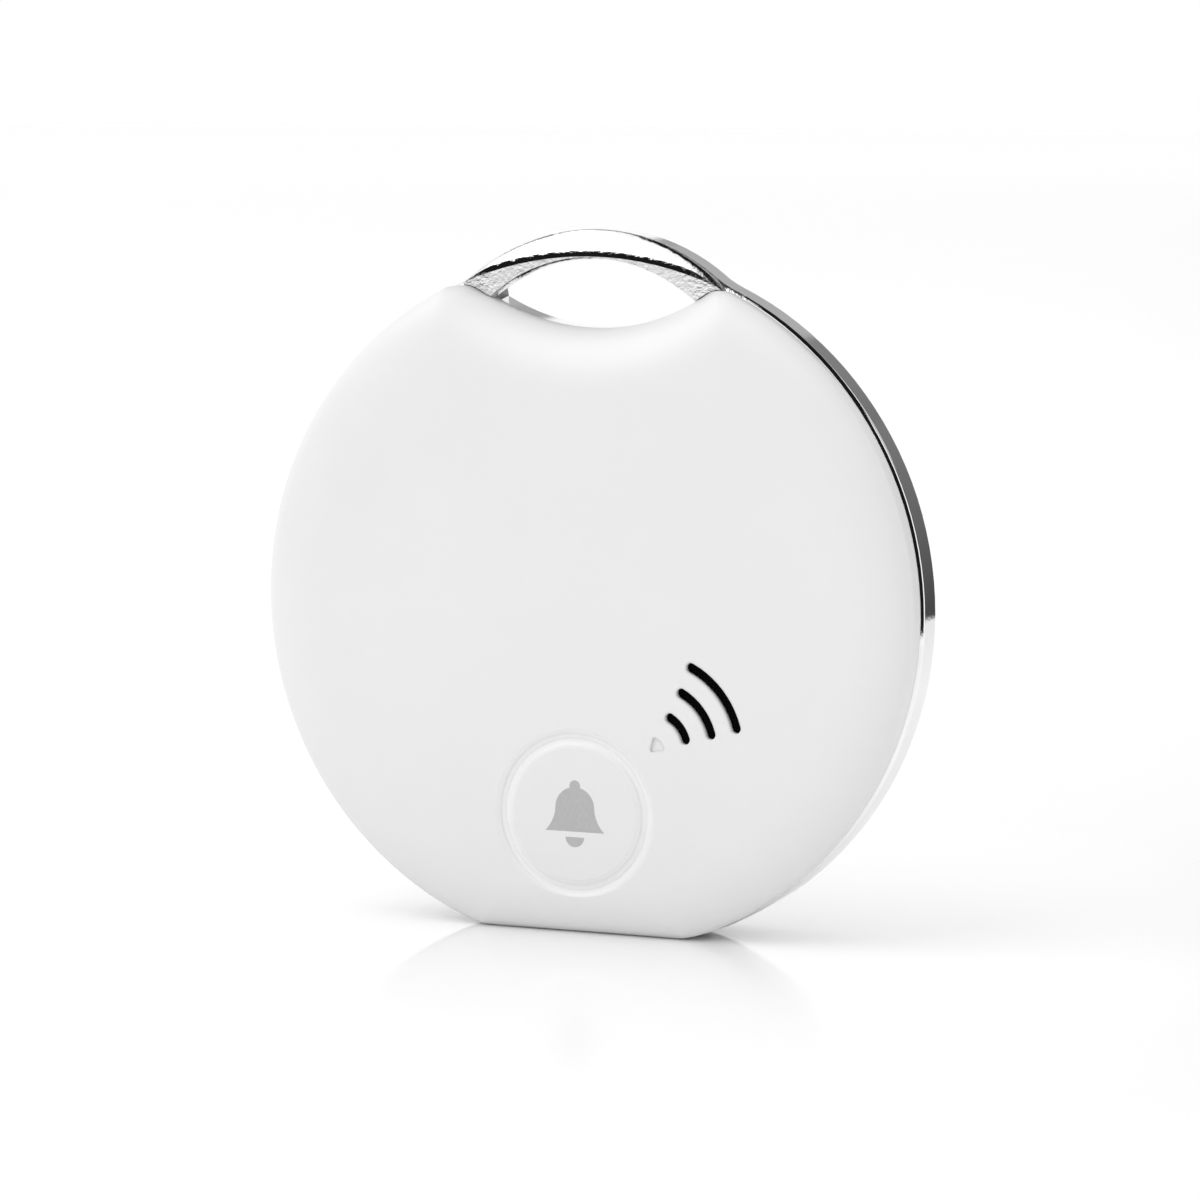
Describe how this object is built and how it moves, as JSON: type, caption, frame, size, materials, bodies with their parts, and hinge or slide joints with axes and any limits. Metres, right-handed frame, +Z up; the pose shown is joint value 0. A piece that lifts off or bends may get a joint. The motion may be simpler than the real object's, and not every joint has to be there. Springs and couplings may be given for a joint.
{
  "type": "bluetooth tracker tag",
  "caption": "Round key-finder tag standing on a small flat foot, with a chrome edge frame forming a key loop, a push button, sound slots and a replaceable coin cell.",
  "frame": {"origin": "on the ground under the middle of the part, at the foot", "axes": "+Z up from the foot to the key loop, -Y out of the front face, X across the disc"},
  "size_m": [0.038, 0.0068, 0.0382],
  "materials": {
    "shell_white": "smooth satin moulding",
    "print_grey": "pad print",
    "web_white": "soft matt ring",
    "chrome": "bright plated",
    "mesh_black": "fine acoustic cloth",
    "foam_black": "foam",
    "brass": "rolled disc",
    "ceramic_white": "matt ceramic",
    "ceramic_brown": "matt ceramic with tinned ends",
    "spring_metal": "nickel plated spring",
    "board_green": "solder mask",
    "chip_black": "moulded package",
    "can_metal": "lidded can",
    "plunger_grey": "smooth",
    "tray_grey": "fine spark texture",
    "screw_metal": "zinc plated",
    "cell_steel": "bright nickel",
    "gasket_black": "smooth",
    "pellet_black": "pressed powder"
  },
  "bodies": {
    "housing": {"front_cover": "shell_white", "button_web": "web_white", "chrome_frame": "chrome", "sound_mesh": "mesh_black", "piezo_gasket": "foam_black", "piezo_plate": "brass", "piezo_ceramic": "ceramic_white", "piezo_contacts": "spring_metal", "pcb": "board_green", "radio_chip": "chip_black", "crystal_radio": "can_metal", "crystal_clock": "can_metal", "chip_antenna": "ceramic_white", "passives": "ceramic_brown", "switch_body": "chip_black", "switch_dome": "spring_metal", "chassis": "tray_grey", "screws": "screw_metal", "contact_negative": "spring_metal", "contact_positive": "spring_metal"},
    "button": {"button_cap": "shell_white", "button_mark": "print_grey"},
    "plunger": {"switch_plunger": "plunger_grey"},
    "rear": {"rear_cover": "shell_white"},
    "cell": {"cell_can": "cell_steel", "cell_lid": "cell_steel", "cell_gasket": "gasket_black", "cell_pellet": "pellet_black"}
  },
  "joints": [
    {"name": "button_press", "type": "slide", "parent": "housing", "child": "button", "axis": [0, 1, 0], "range_m": [0, 0.0002], "stiffness_N_per_m": 1500, "deforming": ["button_web", "switch_dome"]},
    {"name": "switch_travel", "type": "slide", "parent": "housing", "child": "plunger", "axis": [0, 1, 0], "range_m": [0, 0.0002]},
    {"name": "rear_cover_lift", "type": "slide", "parent": "housing", "child": "rear", "axis": [0, 1, 0], "range_m": [0, 0.012]},
    {"name": "cell_lift", "type": "slide", "parent": "housing", "child": "cell", "axis": [0, 1, 0], "range_m": [0, 0.006]}
  ],
  "couplings": [
    {"joint": "switch_travel", "follows": "button_press", "ratio": 1},
    {"joint": "cell_lift", "follows": "rear_cover_lift", "ratio": 0.5}
  ]
}
